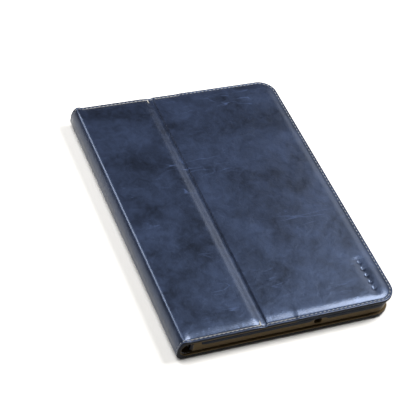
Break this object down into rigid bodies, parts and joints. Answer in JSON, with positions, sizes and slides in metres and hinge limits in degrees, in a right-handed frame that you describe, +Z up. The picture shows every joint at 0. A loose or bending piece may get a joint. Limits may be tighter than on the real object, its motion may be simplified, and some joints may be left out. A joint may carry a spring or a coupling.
{
  "type": "tablet folio case",
  "caption": "Closed book-style leather tablet folio with a soft spine, a stand crease across its front cover, a document pocket and a framed tablet holder with a closing flap.",
  "frame": {"origin": "middle of the closed folio's footprint, on the surface it lies on", "axes": "+X from the spine to the free edge, +Y along the spine, +Z up through the covers"},
  "size_m": [0.152, 0.212, 0.017],
  "materials": {
    "navy_leather": "waxed pull-up leather, glossy, mottled",
    "greyboard": "matt pressed board",
    "olive_microfibre": "brushed microfibre",
    "pocket_cloth": "plain woven facing",
    "grey_thread": "waxed polyester thread",
    "nickel_magnet": "nickel plated magnet",
    "keeper_steel": "plain steel strip",
    "hook_and_loop": "woven hook and loop tape"
  },
  "bodies": {
    "back_cover": {"back_cover_leather": "navy_leather", "back_cover_board": "greyboard", "back_cover_lining": "olive_microfibre", "back_cover_stitching": "grey_thread", "holder_side_wall": "olive_microfibre", "bezel_leather": "navy_leather", "bezel_stitching": "grey_thread", "bezel_stiffener": "greyboard", "bezel_lining": "olive_microfibre", "closure_keepers": "keeper_steel", "wall_loop_patches": "hook_and_loop"},
    "spine": {"spine_leather": "navy_leather", "spine_lining": "olive_microfibre", "spine_stitching": "grey_thread"},
    "front_inner": {"front_inner_leather": "navy_leather", "front_inner_board": "greyboard", "front_inner_lining": "olive_microfibre", "front_inner_stitching": "grey_thread"},
    "front_outer": {"front_outer_leather": "navy_leather", "front_outer_board": "greyboard", "front_outer_lining": "olive_microfibre", "front_outer_stitching": "grey_thread", "closure_magnets": "nickel_magnet", "pocket_leather": "navy_leather", "pocket_lining": "pocket_cloth", "pocket_stitching": "grey_thread"},
    "closing_flap": {"closing_flap_leather": "navy_leather", "closing_flap_lining": "olive_microfibre", "closing_flap_stitching": "grey_thread", "flap_hook_patches": "hook_and_loop"}
  },
  "joints": [
    {"name": "spine_lower_fold", "type": "hinge", "parent": "back_cover", "child": "spine", "pos_m": [-0.0753, 0, 0.0007], "axis": [0, -1, 0], "range_deg": [0, 150]},
    {"name": "spine_upper_fold", "type": "hinge", "parent": "spine", "child": "front_inner", "pos_m": [-0.0753, 0, 0.0163], "axis": [0, -1, 0], "range_deg": [0, 150]},
    {"name": "stand_crease_fold", "type": "hinge", "parent": "front_inner", "child": "front_outer", "pos_m": [-0.017, 0, 0.017], "axis": [0, -1, 0], "range_deg": [0, 100]},
    {"name": "closing_flap_fold", "type": "hinge", "parent": "back_cover", "child": "closing_flap", "pos_m": [-0.0669, 0, 0.0113], "axis": [0, 1, 0], "range_deg": [0, 90]}
  ]
}
